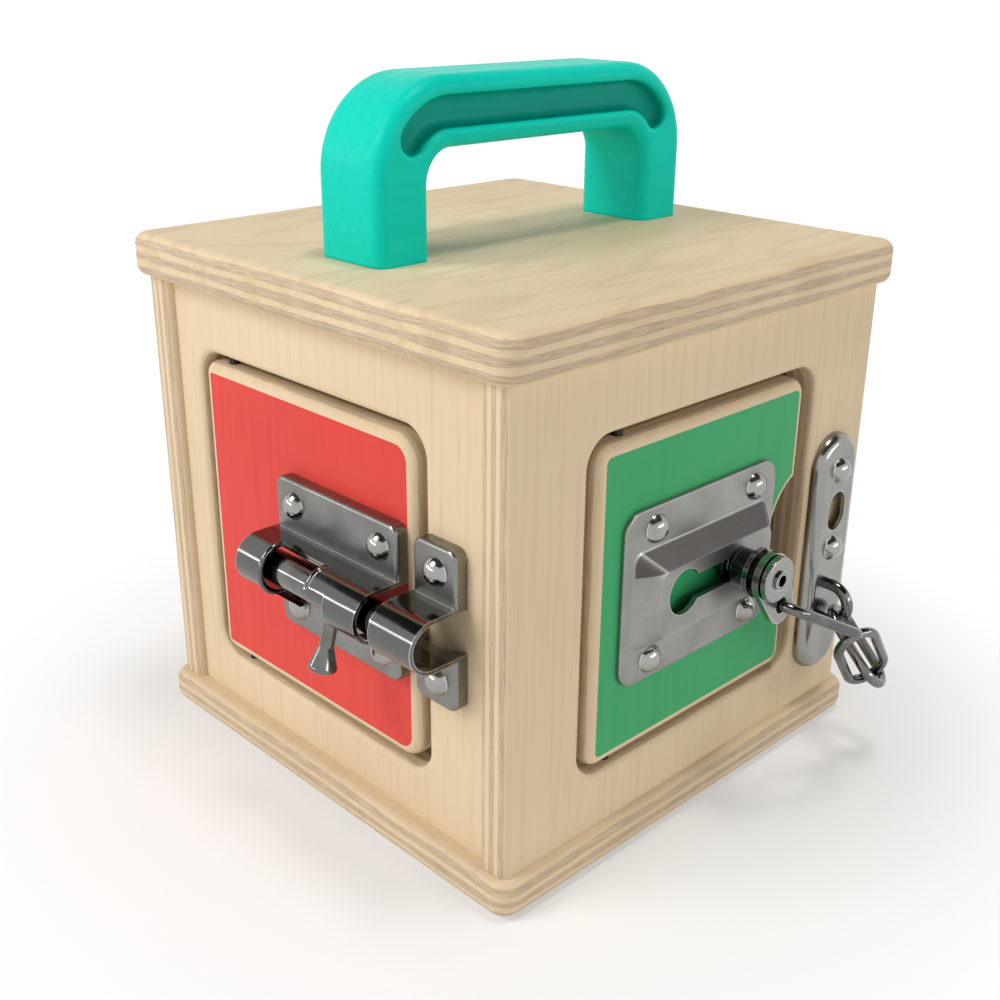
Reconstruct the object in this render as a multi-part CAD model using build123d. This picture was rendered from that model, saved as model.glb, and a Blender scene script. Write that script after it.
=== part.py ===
from build123d import *
from math import cos, radians, sin
import os

os.makedirs("parts", exist_ok=True)

# Millimetres. The origin is the middle of the underside, +Z is up, the front is -Y, the right is +X.

# Casing
casing_width = 152.0
casing_height = 132.0
plate_overhang = 3.5
plate_corner = 6.0
plate_edge = 3.2
foot_edge = 4.5
base_thickness = 11.0
top_thickness = 12.5
wall_thickness = 10.0
front_recess = 2.5
wall_edge = 2.4
dowel_radius = 3.0
dowel_in_plate = 7.0
dowel_in_wall = 10.0
dowel_inset = 11.0
glue_gap = 0.03

# Doors, each in its wall's own frame: u to the right along the face, v up, w out of the wall
door_thickness = 9.0
door_proud = 0.5
door_edge = 3.2
door_back_edge = 0.8
opening_corner = 8.0
opening_edge = 2.5
pin_radius = 1.5
pin_in_door = 9.0
pin_in_wall = 7.0
pin_play = 0.08

red_stiles = (21.4, 32.1)
red_rails = (14.9, 19.1)
red_gaps_u = (2.4, 2.7)
red_gaps_v = (2.4, 2.3)
red_pivot_inset = 9.4
red_hinge_corner = 4.0
red_free_corner = 7.5

green_stiles = (27.4, 28.8)
green_rails = (17.1, 19.3)
green_gaps_u = (2.3, 5.8)
green_gaps_v = (2.1, 2.3)
green_pivot_inset = 11.5
green_hinge_corner = 5.0
green_free_corner = 5.0
scallop_chord = 31.0
scallop_depth = 10.0

# Carrying handle
handle_x = (-14.8, 11.2)
handle_margins = (20.8, 17.8)
handle_rise = 46.6
handle_leg = 17.8
handle_bar = 18.4
handle_outer_corner = 25.0
handle_inner_corner = 9.0
handle_edge = 3.6
groove_width = 8.4
groove_inset = 5.0
groove_depth = 5.0
groove_sweep = 52.0
groove_floor = 2.6
groove_rim = 1.3
handle_screw_radius = 2.0
handle_screw_reach = 20.0
handle_screw_head = (4.2, 2.6)

# Barrel bolt
sheet = 1.2
bolt_width = 51.4
bolt_setback = 3.0
bolt_height = 44.6
bolt_above_middle = 1.05
keeper_width = 15.8
keeper_setback = 0.1
bolt_depth = 4.0
bolt_corner = 3.0
bolt_edge = 1.1
tunnel_w = 11.7
tunnel_radius = 7.3
rod_radius = 4.6
rod_drop = 0.2
rod_back = 0.1
rod_gap = 0.4
rod_tip_edge = 1.2
window_inset = 11.2
window_length = 27.5
window_below = 6.8
window_above = 3.6
window_top_length = 20.0
window_top_w = 11.3
cut_overlap = 0.1
lip_radius = 0.8
lip_rise = 0.2
bolt_handle_setback = 16.2
bolt_handle_tilt = 16.0
bolt_handle_radius = 2.0
bolt_handle_length = 20.5
bolt_handle_socket = 2.2
knob_length = 7.0
knob_radius = 4.4
knob_edge = 1.2
slot_play = 0.6
slot_w = (8.2, 16.9)
bolt_back = 10.0
bolt_forward = 9.0
bolt_screw_insets_u = (8.2, 7.0)
bolt_screw_inset_v = 7.1
keeper_screw_inset = 8.4

# Screws that hold the metal parts
screw_head_radius = 4.1
screw_head_rise = 2.8
screw_shank_radius = 1.4
screw_reach = 6.5
screw_play = 0.3

# Chain track
track_sheet = 1.5
track_margins = (9.8, 13.4)
track_below = 24.2
track_above = 25.8
track_corner = 6.0
track_edge = 0.6
emboss_insets = (3.5, 4.0)
emboss_off_screws = (0.3, 0.9)
emboss_rise = 4.0
emboss_slopes_u = (7.0, 2.0)
emboss_slopes_v = (3.0, 6.5)
emboss_corner = 3.0
track_screw_insets_u = (12.0, 9.8)
track_screw_insets_v = (5.9, 6.3)
slot_entry_inset = 20.5
slot_entry_radius = 6.5
slot_rise = 64.5
slot_half = 3.75
slot_end_inset = 20.0

# Slider and hanger
neck_radius = 3.2
collar_radius = 5.3
collar_play = 0.5
slider_head_radius = 5.6
slider_head = (2.5, 4.1)
slider_flange_radius = 7.0
slider_flange = (11.5, 13.0)
slider_shoulder = 17.4
slider_stub_radius = 2.8
slider_bore_radius = 1.7
slider_bore = 4.0
slider_tip = 20.0
washer_radius = 6.5
washer = (17.5, 19.3)
hanger = (15.0, 17.0)
hanger_top_radius = 7.0
hanger_eye_radius = 5.5
hanger_eye_hole = 2.5
hanger_play = 0.3
hanger_aside = 5.4
hanger_drop = 10.2

# Chain: ovals of wire. The first one is as long as the way from the hanger to the second one
wire_radius = 1.5
link_length = 26.0
link_half_width = 6.0
link_play = 0.4
chain_gap = 0.8
link_2_way = (0.08, -0.63, 0.77)
link_2_step = 3.6
link_2_aside = -0.5
link_2_lift = -1.5
link_3_way = (1.0, 0, -1.0)
link_3_roll = -20.0

# Chain anchor and its staple
anchor_setback = 12.0
anchor_width = 20.0
anchor_depth = 4.0
anchor_edge = 3.4
anchor_below = 53.2
anchor_above = 25.0
anchor_screw_drops = (36.3, 11.1)
anchor_hole_drops = (30.3, 18.1)
anchor_hole_radius = 4.3
staple_drop = 29.5
staple_w = 5.5
staple_bend = 6.0
staple_radius = 1.8

# Heights and planes that follow from these
wall_foot = base_thickness
wall_head = base_thickness + casing_height
top_of_box = wall_head + top_thickness
half = casing_width / 2
plate_reach = half + plate_overhang
front_face = half - front_recess
inner_half = half - wall_thickness
dowel_spread = inner_half - dowel_inset
FRONT = Plane(origin=(0, -front_face, 0), x_dir=(1, 0, 0), z_dir=(0, -1, 0))
RIGHT = Plane(origin=(half, 0, 0), x_dir=(0, 1, 0), z_dir=(1, 0, 0))


def inside(span, margins):
    """The stretch that is left inside another one, with a margin at each end."""
    return (span[0] + margins[0], span[1] - margins[1])


red_opening_u = inside((-half, half), red_stiles)
red_opening_v = inside((wall_foot, wall_head), red_rails)
red_u = inside(red_opening_u, red_gaps_u)
red_v = inside(red_opening_v, red_gaps_v)
green_opening_u = inside((-half, half), green_stiles)
green_opening_v = inside((wall_foot, wall_head), green_rails)
green_u = inside(green_opening_u, green_gaps_u)
green_v = inside(green_opening_v, green_gaps_v)

bolt_u = (red_u[1] - bolt_setback - bolt_width, red_u[1] - bolt_setback)
bolt_v = sum(red_v) / 2 + bolt_above_middle
bolt_plate_v = (bolt_v - bolt_height / 2, bolt_v + bolt_height / 2)
keeper_u = (red_opening_u[1] + keeper_setback, red_opening_u[1] + keeper_setback + keeper_width)
rod_u = (bolt_u[0] - rod_back, keeper_u[0] - rod_gap)
window_u = (bolt_u[0] + window_inset, bolt_u[0] + window_inset + window_length)
window_v = (bolt_v - window_below, bolt_v + window_above)
window_top_u = (window_u[0], window_u[0] + window_top_length)
bolt_handle_u = bolt_u[1] - bolt_handle_setback
bolt_screws_u = inside(bolt_u, bolt_screw_insets_u)
bolt_screws_v = inside(bolt_plate_v, (bolt_screw_inset_v, bolt_screw_inset_v))
keeper_screw_u = keeper_u[0] + keeper_screw_inset

handle_y = inside((-plate_reach, plate_reach), handle_margins)

slot_v = wall_foot + slot_rise
track_u = inside(green_u, track_margins)
track_v = (slot_v - track_below, slot_v + track_above)
track_screws_u = inside(track_u, track_screw_insets_u)
track_screws_v = inside(track_v, track_screw_insets_v)
emboss_u = inside(track_u, emboss_insets)
emboss_v = inside(track_screws_v, [screw_head_radius + gap for gap in emboss_off_screws])
slot_entry_u = track_u[0] + slot_entry_inset
slot_end_u = track_u[1] - slot_end_inset
eye_u, eye_v = slot_end_u + hanger_aside, slot_v - hanger_drop

anchor_u = green_opening_u[1] + anchor_setback
anchor_v = (slot_v - anchor_below, slot_v + anchor_above)
anchor_screws_v = [anchor_v[1] - drop for drop in anchor_screw_drops]
anchor_hole_v = [anchor_v[1] - drop for drop in anchor_hole_drops]
staple_v = slot_v - staple_drop


def write(name, shape):
    """One node: its solids as one STEP file."""
    solids = shape.solids() if not isinstance(shape, list) else [s for part in shape for s in part.solids()]
    body = solids[0] if len(solids) == 1 else Compound(children=solids)
    body.label = name
    export_step(body, f"parts/{name}.step")


def slab(u, v, w):
    """A box between the given pairs of limits."""
    size = [hi - lo for lo, hi in (u, v, w)]
    middle = [(hi + lo) / 2 for lo, hi in (u, v, w)]
    return Pos(*middle) * Box(*size)


def sheet_block(u, v, w, corner):
    """A flat block with its corners rounded in the plane of the face."""
    block = slab(u, v, w)
    return fillet(block.edges().filter_by(Axis.Z), corner)


def post(radius, u, v, w):
    """A round bar standing along w."""
    return Pos(u, v, (w[0] + w[1]) / 2) * Cylinder(radius, w[1] - w[0])


def front_edges(shape):
    """The edges of the face that looks out along w."""
    return shape.faces().sort_by(Axis.Z)[-1].edges()


def back_edges(shape):
    """The edges of the face against the wall."""
    return shape.faces().sort_by(Axis.Z)[0].edges()


def on(plane, shape):
    """A shape of a wall's frame, set into the object's frame."""
    return plane.location * shape


def dome_screw(u, v, w):
    """A round-headed screw whose head sits on the level w."""
    ball = (screw_head_radius**2 + screw_head_rise**2) / (2 * screw_head_rise)
    head = Pos(u, v, w + screw_head_rise - ball) * Sphere(ball)
    head &= slab((u - 9, u + 9), (v - 9, v + 9), (w, w + screw_head_rise + 1))
    return head + post(screw_shank_radius, u, v, (w - screw_reach, w + 0.5))


def screw_bores(places, w, play):
    """The holes for the shanks of the screws at these places."""
    return [post(screw_shank_radius + play, u, v, (w - screw_reach - 1, w + 1)) for u, v in places]


# Casing: base, top and four walls, joined by dowels
def casing_plate(bottom, thickness, low_edge):
    span = (-plate_reach, plate_reach)
    plate = sheet_block(span, span, (bottom, bottom + thickness), plate_corner)
    plate = fillet(front_edges(plate), plate_edge)
    return fillet(back_edges(plate), low_edge)


side_dowel = half - wall_thickness / 2
front_dowel = front_face - wall_thickness / 2
dowel_places = [(sx * side_dowel, sy * dowel_spread) for sx in (-1, 1) for sy in (-1, 1)]
dowel_places += [(sx * dowel_spread, sy * front_dowel) for sx in (-1, 1) for sy in (-1, 1)]


def dowels(radius, low, high):
    return [post(radius, x, y, (low, high)) for x, y in dowel_places]


base_span = (wall_foot - dowel_in_plate, wall_foot + dowel_in_wall)
top_span = (wall_head - dowel_in_wall, wall_head + dowel_in_plate)
bores = dowels(dowel_radius + glue_gap, *base_span) + dowels(dowel_radius + glue_gap, *top_span)
base_plate = casing_plate(0, base_thickness, foot_edge) - bores
top_plate = casing_plate(wall_head, top_thickness, plate_edge) - bores


def side_wall(sign):
    wall = slab(sorted((sign * half, sign * inner_half)), (-half, half), (wall_foot, wall_head))
    return fillet(wall.edges().filter_by(Axis.Z), wall_edge) - bores


def cross_wall(sign):
    depth = sorted((sign * front_face, sign * (front_face - wall_thickness)))
    return slab((-inner_half, inner_half), depth, (wall_foot, wall_head)) - bores


def opening(u, v):
    """The cutter for a door opening."""
    return sheet_block(u, v, (-2 * wall_thickness, wall_thickness), opening_corner)


def with_opening(wall, plane, u, v):
    """A wall with a door opening whose outer edge is rounded over."""
    cut = wall - on(plane, opening(u, v))
    near = cut.edges().filter_by(lambda e: abs(plane.to_local_coords(e.center()).Z) < 1e-3)
    rim = [e for e in near if on_rim(plane, e, u, v)]
    return fillet(rim, opening_edge)


def on_rim(plane, edge, u, v):
    """Whether an edge on the wall's face belongs to the opening."""
    place = plane.to_local_coords(edge.center())
    inside_u = u[0] - 0.01 <= place.X <= u[1] + 0.01
    inside_v = v[0] - 0.01 <= place.Y <= v[1] + 0.01
    return inside_u and inside_v


def pivot_u(u, inset):
    return u[0] + inset


pivot_w = door_proud - door_thickness / 2


def pivot_pins(radius, u, door_v, opening_v, extra):
    """The two pivot pins of a door, or the holes for them."""
    upper = (door_v[1] - pin_in_door, opening_v[1] + pin_in_wall)
    lower = (opening_v[0] - pin_in_wall, door_v[0] + pin_in_door)
    pins = []
    for low, high in (upper, lower):
        span = high - low + 2 * extra
        pins += [Pos(u, (low + high) / 2, pivot_w) * Rot(90, 0, 0) * Cylinder(radius, span)]
    return pins


red_pivot = pivot_u(red_u, red_pivot_inset)
green_pivot = pivot_u(green_u, green_pivot_inset)
left_wall = side_wall(-1)
back_wall = cross_wall(1)
front_wall = with_opening(cross_wall(-1), FRONT, red_opening_u, red_opening_v)
front_wall -= [on(FRONT, p) for p in pivot_pins(pin_radius + pin_play, red_pivot, red_v, red_opening_v, 0.3)]
right_wall = with_opening(side_wall(1), RIGHT, green_opening_u, green_opening_v)
right_wall -= [on(RIGHT, p) for p in pivot_pins(pin_radius + pin_play, green_pivot, green_v, green_opening_v, 0.3)]


# Doors: boards with rounded edges that turn on pins top and bottom
def door_board(u, v, hinge_corner, free_corner):
    board = slab(u, v, (door_proud - door_thickness, door_proud))
    upright = board.edges().filter_by(Axis.Z).sort_by(Axis.X)
    board = fillet(upright[:2], hinge_corner)
    board = fillet(board.edges().filter_by(Axis.Z).sort_by(Axis.X)[-2:], free_corner)
    return board


def finish_board(board):
    board = fillet(front_edges(board), door_edge)
    return fillet(back_edges(board), door_back_edge)


scallop_radius = (scallop_chord**2 / 4 + scallop_depth**2) / (2 * scallop_depth)
red_board = finish_board(door_board(red_u, red_v, red_hinge_corner, red_free_corner))
green_board = door_board(green_u, green_v, green_hinge_corner, green_free_corner)
scallop_centre = green_u[1] - scallop_depth + scallop_radius
green_board -= post(scallop_radius, scallop_centre, slot_v, (-2 * wall_thickness, wall_thickness))
green_board = finish_board(green_board)
red_board -= pivot_pins(pin_radius + glue_gap, red_pivot, red_v, red_opening_v, 0)
green_board -= pivot_pins(pin_radius + glue_gap, green_pivot, green_v, green_opening_v, 0)

# Barrel bolt and keeper: pressed sheet with a tunnel for the rod
tunnel_inner = tunnel_radius - sheet


def tunnel(radius, u, low):
    """A bar of D section along u, flat-sided from the level low and round in front."""
    middle = (u[0] + u[1]) / 2
    crown = Pos(middle, bolt_v, tunnel_w) * Rot(0, 90, 0) * Cylinder(radius, u[1] - u[0])
    return crown + slab(u, (bolt_v - radius, bolt_v + radius), (low, tunnel_w))


def tunnel_plate(u, foot, screws):
    """A plate with returned edges that stands on the level foot, with its tunnel."""
    v = bolt_plate_v
    face = foot + bolt_depth
    plate = sheet_block(u, v, (foot, face), bolt_corner)
    plate = fillet(front_edges(plate), bolt_edge)
    plate += tunnel(tunnel_radius, u, foot + sheet)
    inner_u = (u[0] + sheet, u[1] - sheet)
    inner_v = (v[0] + sheet, v[1] - sheet)
    plate -= sheet_block(inner_u, inner_v, (foot - 1, face - sheet), bolt_corner - sheet)
    plate -= tunnel(tunnel_inner, (u[0] - 1, u[1] + 1), foot - 1)
    return plate - screw_bores(screws, face, screw_play)


bolt_screw_places = [(u, v) for u in bolt_screws_u for v in bolt_screws_v]
keeper_screw_places = [(keeper_screw_u, v) for v in bolt_screws_v]
bolt_face = door_proud + bolt_depth
bolt_plate = tunnel_plate(bolt_u, door_proud, bolt_screw_places)
bolt_keeper = tunnel_plate(keeper_u, 0, keeper_screw_places)
bolt_plate -= slab(window_u, window_v, (tunnel_w, 3 * tunnel_w))
bolt_plate -= slab(window_top_u, (window_v[1] - cut_overlap, bolt_v + 2 * tunnel_radius), (window_top_w, 3 * tunnel_w))


def lip(u, low):
    """The rolled edge of the sheet at one end of the window, from the level low of v over the top."""
    level = tunnel_radius - sheet + lip_radius + lip_rise
    ring = Pos(u, bolt_v, tunnel_w) * Rot(0, 90, 0) * Torus(level, lip_radius)
    front = slab((u - 3, u + 3), (low, bolt_v + 3 * tunnel_radius), (tunnel_w, 3 * tunnel_w))
    bead = (ring & front) + post(lip_radius, u, bolt_v + level, (window_top_w, tunnel_w))
    return bead + Pos(u, bolt_v + level, window_top_w) * Sphere(lip_radius)


bolt_plate += lip(window_top_u[0], window_v[0])
bolt_plate += lip(window_top_u[1], window_v[1] - 0.4)


# The slot under the tunnel that the bolt's handle moves along
rod_v = bolt_v - rod_drop
slot_side = bolt_handle_radius + slot_play
slot_u = (bolt_handle_u - bolt_back - slot_side, bolt_handle_u + bolt_forward + slot_side)
bolt_plate -= slab(slot_u, (bolt_v - tunnel_radius - 1, rod_v), slot_w)

rod = Pos(sum(rod_u) / 2, rod_v, tunnel_w) * Rot(0, 90, 0) * Cylinder(rod_radius, rod_u[1] - rod_u[0])
rod = chamfer(rod.faces().sort_by(Axis.X)[-1].edges(), rod_tip_edge)
shaft_end = bolt_handle_length - knob_length
shaft = Pos(0, 0, (bolt_handle_socket + shaft_end) / 2) * Cylinder(
    bolt_handle_radius, shaft_end - bolt_handle_socket
)
knob = Pos(0, 0, bolt_handle_length - knob_length / 2) * Cone(bolt_handle_radius, knob_radius, knob_length)
knob = fillet(knob.faces().sort_by(Axis.Z)[-1].edges(), knob_edge)
hanging = Location((bolt_handle_u, rod_v, tunnel_w)) * Rot(90 - bolt_handle_tilt, 0, 0)
bolt_handle = hanging * (shaft + knob)
socket_depth = rod_radius - bolt_handle_socket
socket = Pos(0, 0, bolt_handle_socket + socket_depth) * Cylinder(bolt_handle_radius + glue_gap, 2 * socket_depth)
rod -= hanging * socket


# Carrying handle: a wooden arch held by two screws from inside the box
def arch():
    low, high = handle_y
    rise = top_of_box + handle_rise
    block = slab(handle_x, handle_y, (top_of_box, rise))
    crown = block.edges().filter_by(Axis.X).sort_by(Axis.Z)[-2:]
    block = fillet(crown, handle_outer_corner)
    gap = slab((-half, half), (low + handle_leg, high - handle_leg), (0, rise - handle_bar))
    gap = fillet(gap.edges().filter_by(Axis.X).sort_by(Axis.Z)[-2:], handle_inner_corner)
    block -= gap
    sides = block.faces().sort_by(Axis.X)[-1].edges() + block.faces().sort_by(Axis.X)[0].edges()
    rims = [e for e in sides if e.center().Z > top_of_box + 0.1]
    block = fillet(rims, handle_edge)
    for side in (-1, 1):
        block -= groove(side)
        flat = next(f for f in block.faces().filter_by(Axis.X) if f.inner_wires() and f.center().X * side > 0)
        block = fillet(flat.inner_wires()[0].edges(), groove_rim)
    return block


def groove_outline():
    """The finger groove's outline in y and z: along the bar and part of the way round both corners."""
    low, high = inside(handle_y, (handle_outer_corner, handle_outer_corner))
    bend_z = top_of_box + handle_rise - handle_outer_corner
    far = handle_outer_corner - groove_inset
    near = far - groove_width
    bend = (far + near) / 2

    def at(y, radius, angle):
        return (y + radius * cos(radians(angle)), bend_z + radius * sin(radians(angle)))

    def arc(y, radius, start, stop):
        return ThreePointArc(*[at(y, radius, a) for a in (start, (start + stop) / 2, stop)])

    def tip(y, stop, turn):
        middle = at(y, bend, stop)
        out = radians(stop + turn)
        crest = (middle[0] + cos(out) * groove_width / 2, middle[1] + sin(out) * groove_width / 2)
        return ThreePointArc(at(y, far, stop), crest, at(y, near, stop))

    right, left = 90 - groove_sweep, 90 + groove_sweep
    return make_face([
        Line(at(low, far, 90), at(high, far, 90)),
        arc(high, far, 90, right),
        tip(high, right, -90),
        arc(high, near, right, 90),
        Line(at(high, near, 90), at(low, near, 90)),
        arc(low, near, 90, left),
        tip(low, left, 90),
        arc(low, far, left, 90),
    ])


def groove(side):
    """The finger groove in one face of the handle, with its floor rounded."""
    plane = Plane(origin=(handle_x[side > 0] + side, 0, 0), x_dir=(0, 1, 0), z_dir=(1, 0, 0))
    cut = extrude(plane * groove_outline(), amount=groove_depth + 1, dir=(-side, 0, 0))
    floor = cut.faces().sort_by(Axis.X)[0 if side > 0 else -1]
    return fillet(floor.edges(), groove_floor)


handle_middle = sum(handle_x) / 2
handle_screw_y = [handle_y[0] + handle_leg / 2, handle_y[1] - handle_leg / 2]


def handle_screw(radius, y, extra):
    return post(radius, handle_middle, y, (wall_head - 0.5, top_of_box + handle_screw_reach + extra))


def pan_head(y):
    radius, height = handle_screw_head
    head = post(radius, handle_middle, y, (wall_head - height, wall_head))
    return fillet(head.faces().sort_by(Axis.Z)[0].edges(), height / 2)


handle = arch() - [handle_screw(handle_screw_radius + glue_gap, y, 0.2) for y in handle_screw_y]
top_plate -= [handle_screw(handle_screw_radius + screw_play, y, 0) for y in handle_screw_y]
handle_screws = [pan_head(y) + handle_screw(handle_screw_radius, y, 0) for y in handle_screw_y]

# Chain track on the green door
track_back = door_proud
track_face = track_back + track_sheet
emboss_face = track_face + emboss_rise


def emboss(shrink, low, high):
    """The raised middle: a flat face with a slope of its own on each side."""
    foot_u, foot_v = [inside(span, (shrink, shrink)) for span in (emboss_u, emboss_v)]
    rise = (high - low) / emboss_rise
    head_u = inside(foot_u, [run * rise for run in emboss_slopes_u])
    head_v = inside(foot_v, [run * rise for run in emboss_slopes_v])
    ends = []
    for u, v, w in ((foot_u, foot_v, low), (head_u, head_v, high)):
        ends += [Pos(sum(u) / 2, sum(v) / 2, w) * RectangleRounded(u[1] - u[0], v[1] - v[0], emboss_corner)]
    return loft(ends, ruled=True)


def keyhole(low, high):
    """The round entry and the slot that the slider's neck runs in."""
    run = slab((slot_entry_u, slot_end_u), (slot_v - slot_half, slot_v + slot_half), (low, high))
    run += post(slot_entry_radius, slot_entry_u, slot_v, (low, high))
    return run + post(slot_half, slot_end_u, slot_v, (low, high))


track_screw_places = [(u, v) for u in track_screws_u for v in track_screws_v]
chain_track = sheet_block(track_u, track_v, (track_back, track_face), track_corner)
chain_track = fillet(front_edges(chain_track), track_edge)
chain_track += emboss(0, track_face, emboss_face)
chain_track -= emboss(track_sheet, track_back - 0.001, emboss_face - track_sheet)
chain_track -= keyhole(track_back + 0.5, emboss_face + 1)
chain_track -= screw_bores(track_screw_places, track_face, screw_play)

# Slider: a headed post that runs in the slot, with a washer riveted on its end
chain_slider = post(neck_radius, slot_end_u, slot_v, (slider_head[0], slider_shoulder))
chain_slider += post(slider_head_radius, slot_end_u, slot_v, slider_head)
collar = (emboss_face + collar_play, slider_flange[0] + collar_play)
chain_slider += post(collar_radius, slot_end_u, slot_v, collar)
chain_slider += post(slider_flange_radius, slot_end_u, slot_v, slider_flange)
chain_slider += post(slider_stub_radius, slot_end_u, slot_v, (slider_shoulder, slider_tip))
chain_slider -= post(slider_bore_radius, slot_end_u, slot_v, (slider_tip - slider_bore, slider_tip + 1))
slider_washer = post(washer_radius, slot_end_u, slot_v, washer)
slider_washer = fillet(front_edges(slider_washer), 0.5)
slider_washer -= post(slider_stub_radius + glue_gap, slot_end_u, slot_v, (washer[0] - 1, washer[1] + 1))

# Hanger: a flat drop on the slider's neck with an eye for the first link
drop = Pos(slot_end_u, slot_v) * Circle(hanger_top_radius) + Pos(eye_u, eye_v) * Circle(hanger_eye_radius)
drop = make_hull(drop.edges())
chain_hanger = extrude(Pos(0, 0, hanger[0]) * drop, amount=hanger[1] - hanger[0])
chain_hanger -= post(neck_radius + hanger_play, slot_end_u, slot_v, (hanger[0] - 1, hanger[1] + 1))
chain_hanger -= post(hanger_eye_hole, eye_u, eye_v, (hanger[0] - 1, hanger[1] + 1))


# Links: ovals of wire, each set between the two wires that it hangs on
def link(start, way, wide, length):
    """A link whose first bend is at start and which runs along way, open across wide."""
    way = Vector(*way).normalized()
    wide = Vector(*wide)
    wide = (wide - way * wide.dot(way)).normalized()
    run = length - 2 * link_half_width
    oval = []
    for sign in (-1, 1):
        oval += [Pos(0, sign * link_half_width, 0) * Rot(0, 90, 0) * Cylinder(wire_radius, run)]
        bend = Torus(link_half_width, wire_radius, major_angle=180, align=None)
        oval += [Pos(sign * run / 2, 0, 0) * Rot(0, 0, -sign * 90) * bend]
    whole = oval[0] + oval[1:]
    middle = Vector(*start) + way * (length / 2)
    return Plane(origin=middle, x_dir=way, z_dir=way.cross(wide)).location * whole


staple_centre = Vector(half + staple_w, anchor_u, staple_v)
link_3_run = Vector(*link_3_way).normalized()
link_3_start = staple_centre + link_3_run * (staple_bend - staple_radius - wire_radius - link_play)
link_3_wide = Vector(0, 1, 0).rotate(Axis((0, 0, 0), link_3_run), link_3_roll)
link_3_normal = link_3_run.cross(link_3_wide)
link_2_start = link_3_start + link_3_run * (link_length - link_2_step)
link_2_start += link_3_wide * link_2_aside + link_3_normal * link_2_lift
link_2_run = Vector(*link_2_way).normalized()
link_2_wide = link_2_run.cross(link_3_run)
hanger_eye = Vector(half + sum(hanger) / 2, eye_u, eye_v)
link_1_end = link_2_start + link_2_run * (link_length + 2 * wire_radius + chain_gap)
link_1_run = link_1_end - hanger_eye
chain_link_1 = link(hanger_eye, link_1_run, (1, 0, 0), link_1_run.length)
chain_link_2 = link(link_2_start, link_2_run, link_2_wide, link_length)
chain_link_3 = link(link_3_start, link_3_run, link_3_wide, link_length)

# Anchor on the right wall: a long pressed plate, and the staple that holds the chain
anchor_v_mid = sum(anchor_v) / 2
anchor_length = anchor_v[1] - anchor_v[0]


def obround(inset, low, high):
    size = (anchor_length - 2 * inset, anchor_width - 2 * inset)
    flat = Pos(anchor_u, anchor_v_mid, low) * Rot(0, 0, 90) * SlotOverall(*size)
    return extrude(flat, amount=high - low)


anchor_screw_places = [(anchor_u, v) for v in anchor_screws_v]
chain_anchor = obround(0, 0, anchor_depth)
chain_anchor = fillet(front_edges(chain_anchor), anchor_edge)
chain_anchor -= obround(anchor_edge * 2 / 3, -sheet, anchor_depth - sheet)
hole_run = inside(anchor_hole_v, (anchor_hole_radius, anchor_hole_radius))
hole_side = (anchor_u - anchor_hole_radius, anchor_u + anchor_hole_radius)
through = (-anchor_depth, 2 * anchor_depth)
chain_anchor -= slab(hole_side, hole_run, through)
chain_anchor -= [post(anchor_hole_radius, anchor_u, v, through) for v in hole_run]
chain_anchor -= screw_bores(anchor_screw_places, anchor_depth, screw_play)
staple_bow = Torus(staple_bend, staple_radius, major_angle=180, align=None)
staple = Pos(anchor_u, staple_v, staple_w) * Rot(0, 90, 0) * Rot(0, 0, 90) * staple_bow
staple_legs = [staple_v - staple_bend, staple_v + staple_bend]
staple += [post(staple_radius, anchor_u, v, (0, staple_w)) for v in staple_legs]
chain_anchor -= [post(staple_radius + glue_gap, anchor_u, v, through) for v in staple_legs]


# Screws, and the holes that they make in the wood
def screws(plane, places, w):
    return [on(plane, dome_screw(u, v, w)) for u, v in places]


red_board -= screw_bores(bolt_screw_places, bolt_face, glue_gap)
green_board -= screw_bores(track_screw_places, track_face, glue_gap)
front_wall -= [on(FRONT, b) for b in screw_bores(keeper_screw_places, bolt_depth, glue_gap)]
right_wall -= [on(RIGHT, b) for b in screw_bores(anchor_screw_places, anchor_depth, glue_gap)]

# One file for each node
write("base_plate", base_plate)
write("top_plate", top_plate)
write("left_wall", left_wall)
write("right_wall", right_wall)
write("front_wall", front_wall)
write("back_wall", back_wall)
write("base_dowels", dowels(dowel_radius, *base_span))
write("top_dowels", dowels(dowel_radius, *top_span))
write("handle", handle)
write("handle_screws", handle_screws)
write("red_door", on(FRONT, red_board))
write("red_door_pins", [on(FRONT, p) for p in pivot_pins(pin_radius, red_pivot, red_v, red_opening_v, 0)])
write("bolt_plate", on(FRONT, bolt_plate))
write("bolt_plate_screws", screws(FRONT, bolt_screw_places, bolt_face))
write("bolt_rod", on(FRONT, rod))
write("bolt_handle", on(FRONT, bolt_handle))
write("bolt_keeper", on(FRONT, bolt_keeper))
write("keeper_screws", screws(FRONT, keeper_screw_places, bolt_depth))
write("green_door", on(RIGHT, green_board))
write("green_door_pins", [on(RIGHT, p) for p in pivot_pins(pin_radius, green_pivot, green_v, green_opening_v, 0)])
write("chain_track", on(RIGHT, chain_track))
write("chain_track_screws", screws(RIGHT, track_screw_places, track_face))
write("chain_slider", on(RIGHT, chain_slider))
write("slider_washer", on(RIGHT, slider_washer))
write("chain_hanger", on(RIGHT, chain_hanger))
write("chain_link_1", chain_link_1)
write("chain_link_2", chain_link_2)
write("chain_link_3", chain_link_3)
write("chain_anchor", on(RIGHT, chain_anchor))
write("anchor_screws", screws(RIGHT, anchor_screw_places, anchor_depth))
write("chain_staple", on(RIGHT, staple))
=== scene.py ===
import math

import bpy
from mathutils import Matrix, Vector


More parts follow.
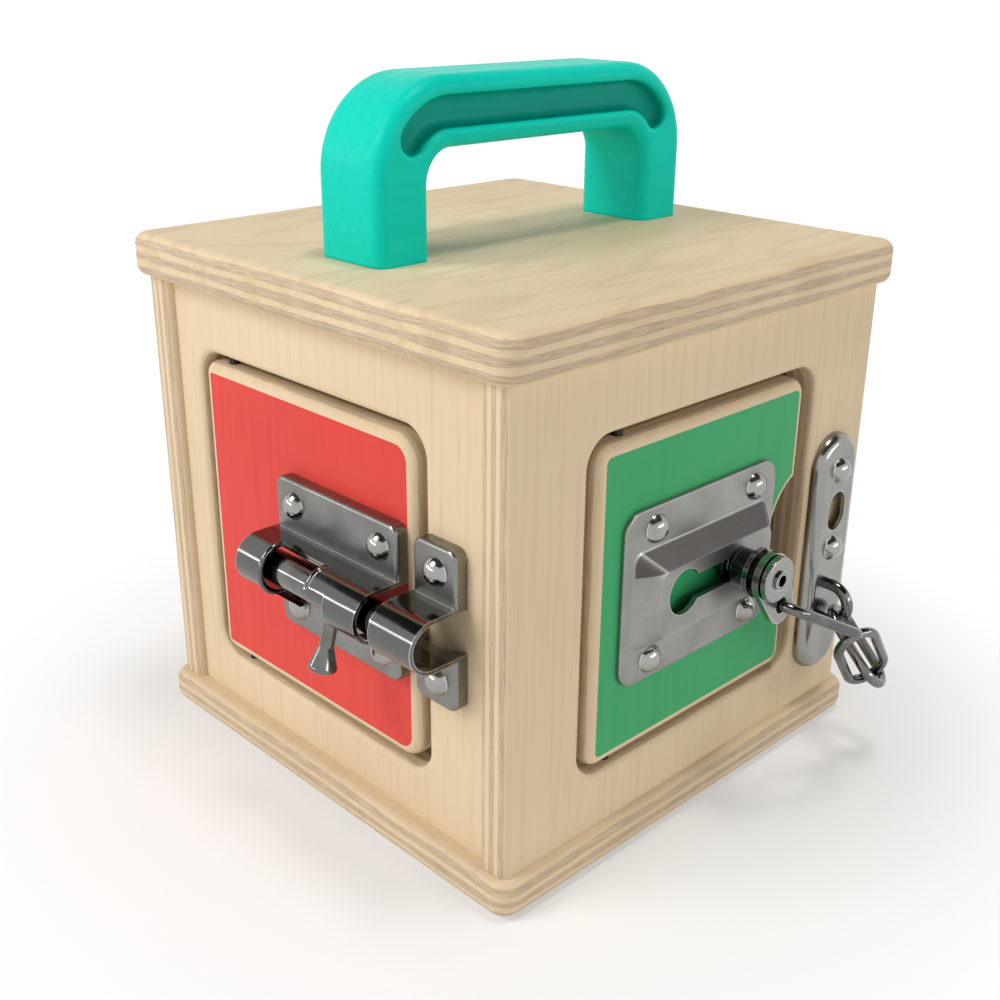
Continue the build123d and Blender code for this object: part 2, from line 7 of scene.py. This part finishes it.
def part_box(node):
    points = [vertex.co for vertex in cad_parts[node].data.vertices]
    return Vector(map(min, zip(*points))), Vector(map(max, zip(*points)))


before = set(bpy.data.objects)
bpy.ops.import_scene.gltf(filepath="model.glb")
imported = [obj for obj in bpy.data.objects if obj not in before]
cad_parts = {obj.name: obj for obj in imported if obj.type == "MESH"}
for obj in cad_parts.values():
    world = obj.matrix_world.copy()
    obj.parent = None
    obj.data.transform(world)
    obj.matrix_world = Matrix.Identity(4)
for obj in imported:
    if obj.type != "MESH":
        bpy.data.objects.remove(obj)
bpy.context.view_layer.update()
bpy.ops.object.select_all(action="DESELECT")

X, Y, Z = 0, 1, 2
VECTOR, FLOAT, COLOUR = "NodeSocketVector", "NodeSocketFloat", "NodeSocketColor"

# Places that the painted shade on the bolt's tunnel and the slider's neck starts from, in metres
front_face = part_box("front_wall")[0].y
right_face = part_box("right_wall")[1].x

# Colours, linear
birch_face = (0.730, 0.582, 0.388, 1)
birch_pale = (0.775, 0.622, 0.420, 1)
birch_streak = (0.560, 0.405, 0.235, 1)
birch_cross = (0.445, 0.335, 0.232, 1)
birch_cross_pale = (0.640, 0.495, 0.345, 1)
birch_glue = (0.300, 0.198, 0.118, 1)
red_paint = (0.745, 0.058, 0.044, 1)
green_paint = (0.046, 0.400, 0.150, 1)
turquoise_paint = (0.000, 0.660, 0.530, 1)
paint_deepened = (0.74, 0.80, 0.80, 1)  # what a paint is multiplied by in its streaks
nickel = (0.335, 0.332, 0.316, 1)
nickel_dull = (0.290, 0.287, 0.274, 1)
# Dark nickel, also the painted dark reflection in the bolt's tunnel
nickel_dark_and_painted_reflection = (0.145, 0.146, 0.144, 1)
# Painted highlight along the metal's sharp edges
nickel_painted_highlight = (0.800, 0.790, 0.760, 1)
# Painted dark reflection on the track's top slope
nickel_slope_painted_reflection = (0.095, 0.090, 0.084, 1)
nickel_bolt = (0.265, 0.262, 0.250, 1)
nickel_bolt_dull = (0.225, 0.222, 0.212, 1)
bright_steel = (0.400, 0.392, 0.372, 1)
# Dark steel of specks and pins, also the painted shade on the slider's neck
steel_dark_and_painted_shade = (0.045, 0.045, 0.044, 1)
floor_tones = (0.90, 0.90, 0.90, 1), (0.88, 0.88, 0.88, 1)
ceiling_tones = (0.05, 0.05, 0.05, 1), (0.08, 0.08, 0.08, 1)
soft_grey = (0.52, 0.52, 0.52, 1)
plain_white = (1, 1, 1, 1)
warm_white = (1.0, 0.97, 0.925)

# Plies through a board, and what its outer plies have beyond half a ply
casing_plies, casing_skin = 6.4, 0.2
door_plies, door_skin = 4.8, 0.4

# Patterns on a board: repeats per metre along the grain, across it and into the board
fine_grain = (16, 560, 560)
ring_drift = (7, 30, 30)
clouding = (10, 16, 16)
pore_lines = (70, 1500, 1500)
ply_waver = (30, 30, 30)
ply_ragged = (320, 320, 320)
glue_gaps = (45, 45, 45)
sanded_ends = (150, 150, 2400)
brush_streaks = (16, 420, 420)
rings_in_drift = 16.0
paint_clouds = 26.0
paint_edge = 700.0

# How strongly the arches of the rings show
wall_figure, top_figure = 0.03, 0.30

# Patterns on plated metal: repeats per metre
drawing_marks = (160, 160, 2400)
fingered_patches = 90.0
fine_specks = 1700.0

# Lengths of the finishes, in metres
grain_relief = 0.0003
brush_relief = 0.0004
plate_relief = 0.0002
handle_softened = 0.0013
# The width of the painted highlight along the metal's sharp edges
painted_highlight_width = 0.0006
paint_film = 0.000006

# Gloss of bare wood and of the two kinds of paint
bare_gloss, door_gloss, handle_gloss = 0.35, 0.22, 0.12
matt = 0.9

# The painted shade in the handle's finger grooves, where it starts and where it is full, in
# metres:
# the way out from the centre of a corner, the way back in from its outside, the height
# over that centre, and the depth below the side faces
handle_bend = 0.025
groove_inside = (0.0100, 0.0116)
groove_outside = (0.0212, 0.0199)
groove_ends = (0.0045, 0.0075)
groove_depth = (0.0006, 0.0036)
# How far the paint is darkened as painted shade in the grooves
groove_painted_shade = 0.52

# Where painted dark reflections and painted shade start and where they are full on the plated
# pieces, in metres: the reflection behind the track's front and below its top, and in the
# tunnel before the front wall, and the shade on the slider's neck off the right wall
slope_behind = (0.0039, 0.0036)
slope_below = (0.0182, 0.0176)
tunnel_before = (0.0058, 0.0068)
neck_off = (0.0116, 0.0110)


def node(tree, kind, **settings):
    """A node of a tree, with its properties set."""
    made = tree.nodes.new("ShaderNode" + kind)
    for name, value in settings.items():
        setattr(made, name, value)
    return made


def own_node(tree, kind):
    """The node of a kind that a new tree already has."""
    return next(n for n in tree.nodes if n.type == kind)


def plug(tree, value, socket):
    """Links an output to an input, or sets the input to a plain value."""
    if isinstance(value, bpy.types.NodeSocket):
        tree.links.new(value, socket)
    else:
        socket.default_value = value


def feed(tree, made, **inputs):
    """Fills a node's inputs by name, with _ in place of a space."""
    for name, value in inputs.items():
        plug(tree, value, made.inputs[name.replace("_", " ")])
    return made


def feed_in_order(tree, made, *values):
    """Fills a node's first inputs in their order."""
    for socket, value in zip(made.inputs, values):
        plug(tree, value, socket)
    return made


def math_node(tree, operation, *values, clamp=False):
    made = node(tree, "Math", operation=operation, use_clamp=clamp)
    return feed_in_order(tree, made, *values).outputs[0]


def mix_colour(tree, factor, first, second, blend="MIX"):
    made = node(tree, "Mix", data_type="RGBA", blend_type=blend)
    for index, value in ((0, factor), (6, first), (7, second)):
        plug(tree, value, made.inputs[index])
    return made.outputs[2]


def mix_value(tree, factor, first, second):
    made = node(tree, "Mix", data_type="FLOAT")
    for index, value in ((0, factor), (2, first), (3, second)):
        plug(tree, value, made.inputs[index])
    return made.outputs[0]


def noise(tree, vector, scale, detail, roughness=0.55):
    made = node(tree, "TexNoise")
    feed(tree, made, Vector=vector, Scale=scale, Detail=detail, Roughness=roughness)
    return made.outputs[0]


def grain(tree, vector, per_metre, detail, roughness=0.55):
    """Noise with its own repeats per metre along each axis."""
    drawn_out = node(tree, "VectorMath", operation="MULTIPLY")
    feed_in_order(tree, drawn_out, vector, per_metre)
    return noise(tree, drawn_out.outputs[0], 1.0, detail, roughness)


def spread(tree, value, low, high, to_low=0.0, to_high=1.0):
    """A smooth step from low to high."""
    made = node(tree, "MapRange", clamp=True, interpolation_type="SMOOTHSTEP")
    feed(tree, made, Value=value, From_Min=low, From_Max=high, To_Min=to_low, To_Max=to_high)
    return made.outputs[0]


def parts_of(tree, vector):
    """A vector's x, y and z."""
    return feed_in_order(tree, node(tree, "SeparateXYZ"), vector).outputs


def effect(name, inputs, outputs):
    """An empty shader node group with named sockets, and its two end nodes."""
    group = bpy.data.node_groups.new(name, "ShaderNodeTree")
    for label, kind in inputs:
        group.interface.new_socket(name=label, in_out="INPUT", socket_type=kind)
    for label, kind in outputs:
        group.interface.new_socket(name=label, in_out="OUTPUT", socket_type=kind)
    return group, group.nodes.new("NodeGroupInput"), group.nodes.new("NodeGroupOutput")


def make_birch_plywood():
    """Birch plywood cut through its plies: x along the grain, y across it, z into the board."""
    group, given, put = effect(
        "birch plywood",
        [("Board", VECTOR), ("Ply", FLOAT), ("Skin", FLOAT), ("Figure", FLOAT)],
        [("Color", COLOUR), ("Roughness", FLOAT), ("Height", FLOAT)],
    )
    board = given.outputs["Board"]
    fine = grain(group, board, fine_grain, 5.0, 0.6)
    drift = grain(group, board, ring_drift, 2.0, 0.5)
    cloud = grain(group, board, clouding, 2.0, 0.5)
    pores = grain(group, board, pore_lines, 2.0, 0.5)
    # The rings of the tree, drawn out into long arches
    rings = math_node(group, "PINGPONG", math_node(group, "MULTIPLY", drift, rings_in_drift), 1.0)
    arches = math_node(group, "MULTIPLY", spread(group, rings, 0.55, 1.0), given.outputs["Figure"])
    face = mix_colour(group, spread(group, cloud, 0.30, 0.72), birch_face, birch_pale)
    face = mix_colour(group, spread(group, fine, 0.44, 0.80, 0.0, 0.34), face, birch_streak)
    face = mix_colour(group, arches, face, birch_streak)
    face = mix_colour(group, spread(group, pores, 0.64, 0.80, 0.0, 0.25), face, birch_glue)
    # The plies, which show wherever the board is cut or rounded over, and waver there alone
    cut_depth = math_node(group, "DIVIDE", parts_of(group, board)[Z], given.outputs["Ply"])
    waver = math_node(group, "MULTIPLY_ADD", grain(group, board, ply_waver, 3.0), 0.7, -0.35)
    ragged = grain(group, board, ply_ragged, 3.0, 0.6)
    ragged = math_node(group, "MULTIPLY_ADD", ragged, 0.14, -0.07)
    waver = math_node(group, "ADD", waver, ragged)
    waver = math_node(group, "MULTIPLY", waver, spread(group, cut_depth, 0.1, 0.6))
    layer = math_node(group, "ADD", cut_depth, waver)
    layer = math_node(group, "SUBTRACT", layer, given.outputs["Skin"])
    swing = math_node(group, "PINGPONG", layer, 1.0)
    cross_ply = spread(group, swing, 0.36, 0.68)
    # Thin lines of glue between the plies, with gaps
    off_joint = math_node(group, "ABSOLUTE", math_node(group, "SUBTRACT", swing, 0.5))
    glue = spread(group, off_joint, 0.0, 0.10, 0.62, 0.0)
    thin = grain(group, board, glue_gaps, 2.0)
    glue = math_node(group, "MULTIPLY", glue, spread(group, thin, 0.35, 0.65))
    sanded = grain(group, board, sanded_ends, 4.0, 0.6)
    cross = mix_colour(group, spread(group, sanded, 0.35, 0.68), birch_cross, birch_cross_pale)
    colour = mix_colour(group, math_node(group, "MULTIPLY", cross_ply, 0.85), face, cross)
    colour = mix_colour(group, glue, colour, birch_glue)
    rough = spread(group, fine, 0.3, 0.8, 0.48, 0.64)
    height = math_node(group, "SUBTRACT", fine, math_node(group, "MULTIPLY", cross_ply, 0.5))
    feed(group, put, Color=colour, Roughness=rough, Height=height)
    return group


def make_painted_edge_highlight():
    """A mask of a piece's sharp edges, where a highlight is painted onto the plating."""
    group, given, put = effect("painted edge highlight", [("Width", FLOAT)], [("Edge", FLOAT)])
    bevel = node(group, "Bevel", samples=4)
    feed(group, bevel, Radius=given.outputs["Width"])
    normal = node(group, "NewGeometry").outputs["Normal"]
    facing = node(group, "VectorMath", operation="DOT_PRODUCT")
    feed_in_order(group, facing, bevel.outputs[0], normal)
    feed(group, put, Edge=spread(group, facing.outputs["Value"], 0.80, 0.99, 1.0, 0.0))
    return group


def make_satin_metal():
    """Plated metal: faint drawing marks, fingered patches and a painted highlight on sharp edges.
    """
    tones = [("Bright", COLOUR), ("Dull", COLOUR), ("Rough", FLOAT), ("Edge", FLOAT)]
    group, given, put = effect(
        "satin metal",
        [("Place", VECTOR)] + tones,
        [("Color", COLOUR), ("Roughness", FLOAT), ("Height", FLOAT)],
    )
    place, bright, dull, rough, edge = [given.outputs[k] for k in range(5)]
    patches = noise(group, place, fingered_patches, 3.0, 0.5)
    marks = grain(group, place, drawing_marks, 3.0, 0.6)
    specks = noise(group, place, fine_specks, 2.0, 0.5)
    colour = mix_colour(group, spread(group, patches, 0.38, 0.66), bright, dull)
    colour = mix_colour(group, spread(group, specks, 0.66, 0.76, 0.0, 0.25), colour, steel_dark_and_painted_shade)
    # A painted highlight along the sharp edges
    colour = mix_colour(group, math_node(group, "MULTIPLY", edge, 0.8), colour, nickel_painted_highlight)
    rough = math_node(group, "ADD", rough, spread(group, patches, 0.35, 0.72, 0.0, 0.06))
    rough = math_node(group, "ADD", rough, spread(group, marks, 0.45, 0.75, 0.0, 0.04))
    height = math_node(group, "ADD", marks, math_node(group, "MULTIPLY", specks, 0.4))
    feed(group, put, Color=colour, Roughness=rough, Height=height)
    return group


def make_brushed_paint():
    """Paint on wood: slight streaks of the brush along the grain and uneven gloss."""
    group, given, put = effect(
        "brushed paint",
        [("Board", VECTOR), ("Paint", COLOUR), ("Streak", FLOAT)],
        [("Color", COLOUR), ("Roughness", FLOAT), ("Height", FLOAT)],
    )
    board, paint, streak = [given.outputs[k] for k in range(3)]
    streaks = grain(group, board, brush_streaks, 4.0, 0.6)
    cloud = noise(group, board, paint_clouds, 2.0, 0.5)
    deep = mix_colour(group, 1.0, paint, paint_deepened, "MULTIPLY")
    shade = math_node(group, "MULTIPLY", spread(group, streaks, 0.40, 0.72), streak)
    colour = mix_colour(group, shade, paint, deep)
    colour = mix_colour(group, spread(group, cloud, 0.35, 0.75, 0.0, 0.22), colour, deep)
    rough = spread(group, streaks, 0.3, 0.8, 0.34, 0.50)
    feed(group, put, Color=colour, Roughness=rough, Height=streaks)
    return group


birch_plywood = make_birch_plywood()
painted_edge_highlight = make_painted_edge_highlight()
satin_metal = make_satin_metal()
brushed_paint = make_brushed_paint()


def finish(name):
    """A new material: its tree, its principled shader and the piece's own coordinates."""
    material = bpy.data.materials.new(name)
    material.use_nodes = True
    tree = material.node_tree
    shader = own_node(tree, "BSDF_PRINCIPLED")
    return material, tree, shader, node(tree, "TexCoord").outputs["Object"]


def placed(tree, group, **inputs):
    """An effect placed in a material: the outputs of its node."""
    made = tree.nodes.new("ShaderNodeGroup")
    made.node_tree = group
    return feed(tree, made, **inputs).outputs


def board_vector(tree, place, along, depth, faces):
    """A board's own coordinates, and the ways in from its two faces.

    They run along the grain, across it, and into the board from the nearer face.
    """
    parts = parts_of(tree, place)
    across = next(k for k in range(3) if k not in (along, depth))
    below = math_node(tree, "SUBTRACT", parts[depth], faces[0])
    above = math_node(tree, "SUBTRACT", faces[1], parts[depth])
    into = math_node(tree, "MINIMUM", below, above)
    joined = node(tree, "CombineXYZ")
    feed_in_order(tree, joined, parts[along], parts[across], into)
    return joined.outputs[0], (below, above)


def relief(tree, shader, height, strength, distance, softened=0.0):
    """Bump from a height, over edges that a radius may soften."""
    bump = node(tree, "Bump")
    feed(tree, bump, Strength=strength, Distance=distance, Height=height)
    if softened:
        bevel = feed(tree, node(tree, "Bevel", samples=6), Radius=softened)
        feed(tree, bump, Normal=bevel.outputs[0])
    feed(tree, shader, Normal=bump.outputs[0])


def faces_of(piece, depth):
    """Where a board's two faces lie along an axis."""
    return [corner[depth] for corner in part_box(piece)]


def plywood(name, along, depth, faces, plies=casing_plies, figure=wall_figure):
    """Bare plywood, with its grain along one axis and its plies stacked along another."""
    material, tree, shader, place = finish(name)
    board, _ = board_vector(tree, place, along, depth, faces)
    ply = (faces[1] - faces[0]) / plies
    wood = placed(tree, birch_plywood, Board=board, Ply=ply, Skin=casing_skin, Figure=figure)
    feed(tree, shader, Base_Color=wood["Color"], Roughness=wood["Roughness"])
    feed(tree, shader, Specular_IOR_Level=bare_gloss)
    relief(tree, shader, wood["Height"], 0.10, grain_relief)
    return material


def painted_board(name, along, depth, faces, outer, paint):
    """Plywood with its outer face painted, the first or the second, and its edges bare."""
    material, tree, shader, place = finish(name)
    board, ways_in = board_vector(tree, place, along, depth, faces)
    ply = (faces[1] - faces[0]) / door_plies
    wood = placed(tree, birch_plywood, Board=board, Ply=ply, Skin=door_skin, Figure=0.0)
    coat = placed(tree, brushed_paint, Board=board, Paint=paint, Streak=0.10)
    ragged = noise(tree, place, paint_edge, 2.0)
    into = math_node(tree, "MULTIPLY_ADD", ragged, paint_film, ways_in[outer])
    bare = spread(tree, into, paint_film, 2 * paint_film)
    colour = mix_colour(tree, bare, coat["Color"], wood["Color"])
    rough = mix_value(tree, bare, coat["Roughness"], wood["Roughness"])
    feed(tree, shader, Base_Color=colour, Roughness=rough, Specular_IOR_Level=door_gloss)
    relief(tree, shader, wood["Height"], 0.06, grain_relief)
    return material


def painted_shade_in_grooves(tree, place):
    """A mask of the painted shade in the handle's two finger grooves, along its bar and round its
    corners.
    """
    low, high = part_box("handle")
    parts = parts_of(tree, place)
    middle, half_width = (low.x + high.x) / 2, (high.x - low.x) / 2
    aside = math_node(tree, "ABSOLUTE", math_node(tree, "SUBTRACT", parts[X], middle))
    nearest = node(tree, "Clamp")
    feed(tree, nearest, Value=parts[Y], Min=low.y + handle_bend, Max=high.y - handle_bend)
    beyond = math_node(tree, "SUBTRACT", parts[Y], nearest.outputs[0])
    rise = math_node(tree, "SUBTRACT", parts[Z], high.z - handle_bend)
    square = math_node(tree, "MULTIPLY", beyond, beyond)
    way = math_node(tree, "SQRT", math_node(tree, "MULTIPLY_ADD", rise, rise, square))
    start, full = groove_depth
    mask = spread(tree, aside, half_width - full, half_width - start, 1.0, 0.0)
    for value, (start, full) in ((way, groove_inside), (way, groove_outside), (rise, groove_ends)):
        mask = math_node(tree, "MULTIPLY", mask, spread(tree, value, start, full))
    return mask


def painted_handle(name, along, depth, faces, paint):
    """Paint all over, with painted shade in the finger grooves."""
    material, tree, shader, place = finish(name)
    board, _ = board_vector(tree, place, along, depth, faces)
    # The paint darkened as painted shade, for the grooves
    painted_groove_colour = tuple(groove_painted_shade * c for c in paint[:3]) + (1,)
    paint = mix_colour(tree, painted_shade_in_grooves(tree, place), paint, painted_groove_colour)
    coat = placed(tree, brushed_paint, Board=board, Paint=paint, Streak=0.30)
    feed(tree, shader, Base_Color=coat["Color"], Roughness=coat["Roughness"])
    feed(tree, shader, Specular_IOR_Level=handle_gloss)
    relief(tree, shader, coat["Height"], 0.10, brush_relief, handle_softened)
    return material


def metal(name, bright, dull, rough, patch=(), painted_shade_colour=None, patch_rough=0.0):
    """Plated metal, with a patch of painted shade where every axis is past its start."""
    material, tree, shader, place = finish(name)
    # The mask of the painted highlight along the sharp edges
    edge = placed(tree, painted_edge_highlight, Width=painted_highlight_width)["Edge"]
    if patch:
        parts = parts_of(tree, place)
        masks = [spread(tree, parts[axis], start, full) for axis, start, full in patch]
        mask = masks[0]
        for other in masks[1:]:
            mask = math_node(tree, "MULTIPLY", mask, other)
        bright = mix_colour(tree, mask, bright, painted_shade_colour)
        dull = mix_colour(tree, mask, dull, painted_shade_colour)
        rough = spread(tree, mask, 0.0, 1.0, rough, patch_rough)
    plate = placed(
        tree, satin_metal, Place=place, Bright=bright, Dull=dull, Rough=rough, Edge=edge
    )
    feed(tree, shader, Base_Color=plate["Color"], Roughness=plate["Roughness"], Metallic=1.0)
    relief(tree, shader, plate["Height"], 0.02, plate_relief)
    return material


# A dowel's faces are so far off and its ply so thick that it shows one kind of grain
far_faces, one_ply = (-1.0, 1.0), 0.2
track_top, track_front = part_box("chain_track")[1].z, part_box("chain_track")[1].x
# Painted dark reflection on the track's top slope
track_slope_painted_reflection = [
    (X, *(track_front - way for way in slope_behind)),
    (Z, *(track_top - way for way in slope_below)),
]
# Painted dark reflection in the bolt's tunnel
tunnel = [(Y, *(front_face - way for way in tunnel_before))]
# Painted shade on the slider's neck
slider_neck_painted_shade = [(X, *(right_face + way for way in neck_off))]

dowel = plywood("beech dowel", Z, X, far_faces, plies=one_ply)
track_metal = metal("nickel track", nickel, nickel_dull, 0.34, track_slope_painted_reflection, nickel_slope_painted_reflection, 0.22)
anchor_metal = metal("nickel anchor", nickel, nickel_dull, 0.20)
# The bolt's plate and keeper, with a painted dark reflection in the tunnel
tunnel_metal = metal(
    "nickel tunnel", nickel_bolt, nickel_bolt_dull, 0.26, tunnel, nickel_dark_and_painted_reflection, 0.08
)
bar_metal = metal("nickel bar", nickel_dark_and_painted_reflection, nickel_bolt_dull, 0.07)
# The slider, with painted shade on its neck next to the plate
slider_metal = metal(
    "nickel slider", nickel_bolt, nickel_dark_and_painted_reflection, 0.10, slider_neck_painted_shade, steel_dark_and_painted_shade, 0.25
)
wire_metal = metal("nickel wire", nickel_dark_and_painted_reflection, nickel_bolt_dull, 0.08)
screw_metal = metal("plated screw", bright_steel, nickel, 0.14)
pin_metal = metal("pin steel", steel_dark_and_painted_shade, steel_dark_and_painted_shade, 0.5)

finishes = {
    "base_plate": plywood("birch base", Y, Z, faces_of("base_plate", Z)),
    "top_plate": plywood("birch top", Y, Z, faces_of("top_plate", Z), figure=top_figure),
    "left_wall": plywood("birch left", Z, X, faces_of("left_wall", X)),
    "right_wall": plywood("birch right", Z, X, faces_of("right_wall", X)),
    "front_wall": plywood("birch front", Z, Y, faces_of("front_wall", Y)),
    "back_wall": plywood("birch back", Z, Y, faces_of("back_wall", Y)),
    "base_dowels": dowel,
    "top_dowels": dowel,
    "handle": painted_handle(
        "turquoise painted wood", Y, Z, faces_of("handle", Z), turquoise_paint
    ),
    "handle_screws": screw_metal,
    "red_door": painted_board(
        "red painted birch", Z, Y, faces_of("red_door", Y), 0, red_paint
    ),
    "red_door_pins": pin_metal,
    "bolt_plate": tunnel_metal,
    "bolt_plate_screws": screw_metal,
    "bolt_rod": bar_metal,
    "bolt_handle": bar_metal,
    "bolt_keeper": tunnel_metal,
    "keeper_screws": screw_metal,
    "green_door": painted_board(
        "green painted birch", Z, X, faces_of("green_door", X), 1, green_paint
    ),
    "green_door_pins": pin_metal,
    "chain_track": track_metal,
    "chain_track_screws": screw_metal,
    "chain_slider": slider_metal,
    "slider_washer": anchor_metal,
    "chain_hanger": anchor_metal,
    "chain_link_1": wire_metal,
    "chain_link_2": wire_metal,
    "chain_link_3": wire_metal,
    "chain_staple": wire_metal,
    "chain_anchor": anchor_metal,
    "anchor_screws": screw_metal,
}
for name, material in finishes.items():
    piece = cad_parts[name]
    piece.data.materials.clear()
    piece.data.materials.append(material)


def seen_directly(tree):
    """1 for what the camera sees straight, in a reflection or through glass."""
    path = node(tree, "LightPath").outputs
    seen = math_node(tree, "ADD", path["Is Camera Ray"], path["Is Glossy Ray"])
    return math_node(tree, "ADD", seen, path["Is Transmission Ray"], clamp=True)


def stage_plane(name, size, height, material):
    bpy.ops.mesh.primitive_plane_add(size=size, location=(0, 0, height))
    plane = bpy.context.object
    plane.name = name
    plane.data.materials.append(material)
    return plane


def make_floor():
    """A pale floor that fades to white away from the box."""
    material, tree, shader, place = finish("pale floor")
    colour = mix_colour(tree, noise(tree, place, 3.0, 2.0), *floor_tones)
    feed(tree, shader, Base_Color=colour, Roughness=matt, Specular_IOR_Level=0.1)
    away = node(tree, "VectorMath", operation="LENGTH")
    feed_in_order(tree, away, place)
    fade = spread(tree, away.outputs["Value"], 0.10, 0.20, 0.35, 1.0)
    fade = math_node(tree, "MULTIPLY", seen_directly(tree), fade)
    glow = node(tree, "Emission")
    blend = node(tree, "MixShader")
    feed_in_order(tree, blend, fade, shader.outputs[0], glow.outputs[0])
    feed(tree, own_node(tree, "OUTPUT_MATERIAL"), Surface=blend.outputs[0])
    floor = stage_plane("floor", 8.0, 0, material)


def make_ceiling():
    """A dark ceiling over the lamps, which the metal reflects."""
    material, tree, shader, place = finish("dark ceiling")
    colour = mix_colour(tree, noise(tree, place, 2.0, 2.0), *ceiling_tones)
    feed(tree, shader, Base_Color=colour, Roughness=matt)
    ceiling = stage_plane("dark_ceiling", 3.4, 1.6, material)


def area_light(name, place, target, size, power):
    """A flat lamp of a width and height in metres and a power in watts, turned to a target."""
    data = bpy.data.lights.new(name, "AREA")
    data.shape = "RECTANGLE"
    data.size, data.size_y = size
    data.energy = power
    data.color = warm_white
    lamp = bpy.data.objects.new(name, data)
    bpy.context.scene.collection.objects.link(lamp)
    lamp.location = place
    lamp.rotation_euler = (Vector(target) - Vector(place)).to_track_quat("-Z", "Y").to_euler()


make_floor()
make_ceiling()
box_middle, top_middle = (0, 0, 0.085), (0, 0, 0.15)
area_light("key light", (-0.35, -0.85, 0.95), box_middle, (0.5, 0.5), 7.2)
area_light("front strip", (-0.55, -1.05, 0.36), box_middle, (1.3, 0.12), 3.0)
area_light("right strip", (1.15, 0.35, 0.42), box_middle, (1.0, 0.14), 3.2)
area_light("top light", (0.16, 0.06, 1.30), top_middle, (0.26, 0.26), 5.3)

# World: white to the camera and in reflections, a soft grey to everything else
world = bpy.data.worlds.new("studio")
bpy.context.scene.world = world
world.use_nodes = True
sky = world.node_tree
backdrop = mix_colour(sky, seen_directly(sky), soft_grey, plain_white)
feed(sky, own_node(sky, "BACKGROUND"), Color=backdrop, Strength=1.0)

# Camera: the place in metres, the angles in radians and the lens that the box's edges give
eye = Vector((0.267677, -0.265908, 0.228136))
yaw, pitch, roll = 2.36796, 0.39149, 0.00836
level = math.cos(pitch)
ahead = Vector((level * math.cos(yaw), level * math.sin(yaw), -math.sin(pitch)))
side = ahead.cross(Vector((0, 0, 1))).normalized()
above = side.cross(ahead)
right = side * math.cos(roll) + above * math.sin(roll)
up = above * math.cos(roll) - side * math.sin(roll)
lens = bpy.data.cameras.new("camera")
lens.sensor_width = 36.0
lens.lens = 46.787
lens.clip_start = 0.01
camera = bpy.data.objects.new("camera", lens)
bpy.context.scene.collection.objects.link(camera)
turn = Matrix((right, up, -ahead)).transposed()
camera.matrix_world = Matrix.Translation(eye) @ turn.to_4x4()
bpy.context.scene.camera = camera
bpy.context.scene.view_settings.view_transform = "Standard"
